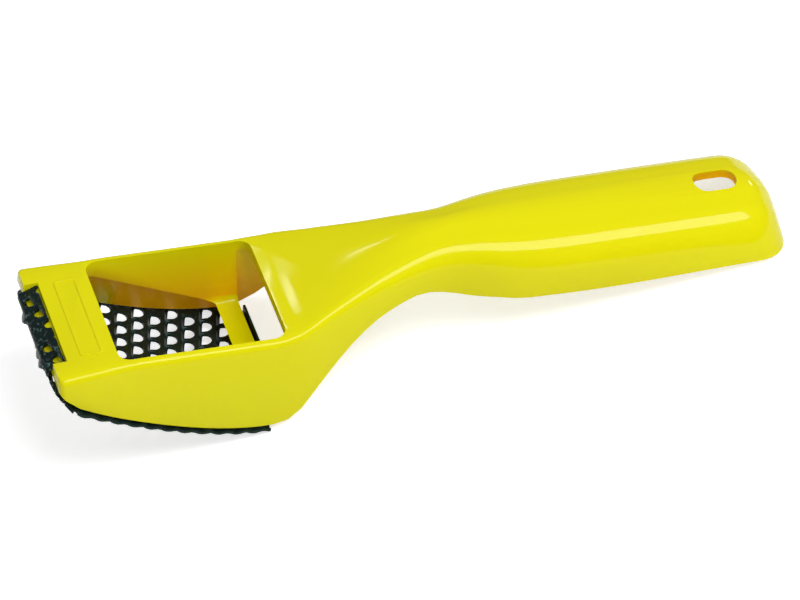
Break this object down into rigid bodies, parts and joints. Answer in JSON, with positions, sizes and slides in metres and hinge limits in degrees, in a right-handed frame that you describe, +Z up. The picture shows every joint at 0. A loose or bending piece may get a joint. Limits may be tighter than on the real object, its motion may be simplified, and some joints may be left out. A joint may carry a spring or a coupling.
{
  "type": "rasp plane",
  "caption": "Small pull shaver: a glossy one-piece plastic body with an open head and a hollow handle, and a curved perforated steel rasp blade clipped under the head.",
  "frame": {"origin": "centre of the bounding box in plan, on the surface that the tool lies on", "axes": "+X from the nose to the end of the handle, +Y to the tool's left, +Z up; it rests on the belly of the blade and on the rim of the handle's end"},
  "size_m": [0.1828, 0.0486, 0.0325],
  "materials": {
    "yellow_plastic": "glossy moulded plastic, bright yellow",
    "black_steel": "dark hardened steel with a dull sheen"
  },
  "bodies": {
    "handle_body": {"body": "yellow_plastic"},
    "rasp_blade": {"blade": "black_steel"}
  },
  "joints": [
    {"name": "blade_release", "type": "hinge", "parent": "handle_body", "child": "rasp_blade", "pos_m": [-0.08515, 0, 0.03207], "axis": [0, 1, 0], "range_deg": [0, 35]}
  ]
}
